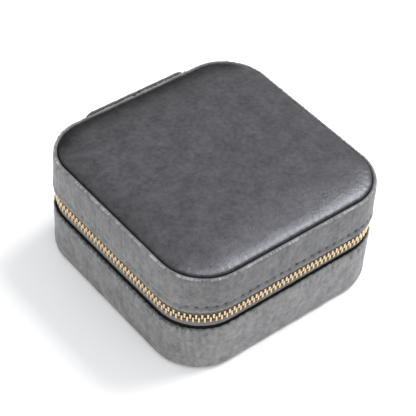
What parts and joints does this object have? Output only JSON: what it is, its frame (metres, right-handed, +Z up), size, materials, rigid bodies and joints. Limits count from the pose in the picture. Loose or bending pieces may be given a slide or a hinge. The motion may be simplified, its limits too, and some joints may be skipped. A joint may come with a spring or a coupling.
{
  "type": "travel jewelry case",
  "caption": "Square velvet-covered travel jewelry case with rounded corners, a hinged lid with a mirror, ring rolls, trays and a metal zipper round its sides.",
  "frame": {"origin": "centre of the flat bottom that the case rests on", "axes": "+Z up out of the lid's top; the front is at -Y, the hinge at +Y, and the zipper's slider parks on the +X side"},
  "size_m": [0.1032, 0.1016, 0.05],
  "materials": {
    "velvet": "grey pile velvet, matt with a soft sheen",
    "lining_velvet": "grey flocked lining, matt",
    "shell_board": "moulded, matt",
    "foam": "soft foam, matt",
    "bottom_board": "velvet over a stiff board, matt",
    "zipper_tape": "woven tape, matt",
    "zipper_metal": "pale gold plate, polished",
    "mirror": "silvered glass",
    "adhesive": "double-sided tape"
  },
  "bodies": {
    "base": {"base_shell": "shell_board", "base_outer_cover": "velvet", "bottom_panel": "bottom_board", "base_lining": "lining_velvet", "floor_liner": "lining_velvet", "centre_divider": "lining_velvet", "hinge_panel_lower": "velvet", "hinge_strip_lower": "lining_velvet", "zipper_tape_lower": "zipper_tape", "zipper_teeth_lower": "zipper_metal", "top_stop_lower": "zipper_metal", "bottom_stop": "zipper_metal", "ring_roll_cover_1": "lining_velvet", "ring_roll_cover_2": "lining_velvet", "ring_roll_cover_3": "lining_velvet", "ring_roll_cover_4": "lining_velvet", "ring_roll_cover_5": "lining_velvet", "ring_roll_cover_6": "lining_velvet", "ring_roll_cover_7": "lining_velvet", "ring_roll_cover_8": "lining_velvet", "ring_roll_core_1": "foam", "ring_roll_core_2": "foam", "ring_roll_core_3": "foam", "ring_roll_core_4": "foam", "ring_roll_core_5": "foam", "ring_roll_core_6": "foam", "ring_roll_core_7": "foam", "ring_roll_core_8": "foam"},
    "lid": {"lid_shell": "shell_board", "lid_outer_cover": "velvet", "lid_foam_pad": "foam", "lid_top_cover": "velvet", "lid_lining": "lining_velvet", "mirror_frame": "lining_velvet", "mirror_glass": "mirror", "mirror_adhesive_pad": "adhesive", "hinge_panel_upper": "velvet", "hinge_strip_upper": "lining_velvet", "zipper_tape_upper": "zipper_tape", "zipper_teeth_upper": "zipper_metal", "top_stop_upper": "zipper_metal"},
    "slider": {"slider_body": "zipper_metal"},
    "puller": {"pull_tab": "zipper_metal"},
    "front_divider": {"divider_front": "lining_velvet"},
    "back_divider": {"divider_back": "lining_velvet"}
  },
  "joints": [
    {"name": "lid_hinge", "type": "hinge", "parent": "base", "child": "lid", "pos_m": [0, 0.0516, 0.0285], "axis": [-1, 0, 0], "range_deg": [0, 110], "deforming": ["zipper_tape_upper", "zipper_teeth_upper"]},
    {"name": "slider_travel", "type": "slide", "parent": "base", "child": "slider", "axis": [0, -1, 0], "range_m": [0, 0.049], "deforming": ["zipper_tape_lower", "zipper_teeth_lower"]},
    {"name": "pull_tab_swing", "type": "hinge", "parent": "slider", "child": "puller", "pos_m": [0.0516, 0.024, 0.0285], "axis": [0, 0, 1], "range_deg": [0, 180]},
    {"name": "front_divider_lift", "type": "slide", "parent": "base", "child": "front_divider", "axis": [0, 0, 1], "range_m": [0, 0.0185]},
    {"name": "back_divider_lift", "type": "slide", "parent": "base", "child": "back_divider", "axis": [0, 0, 1], "range_m": [0, 0.0185]}
  ]
}
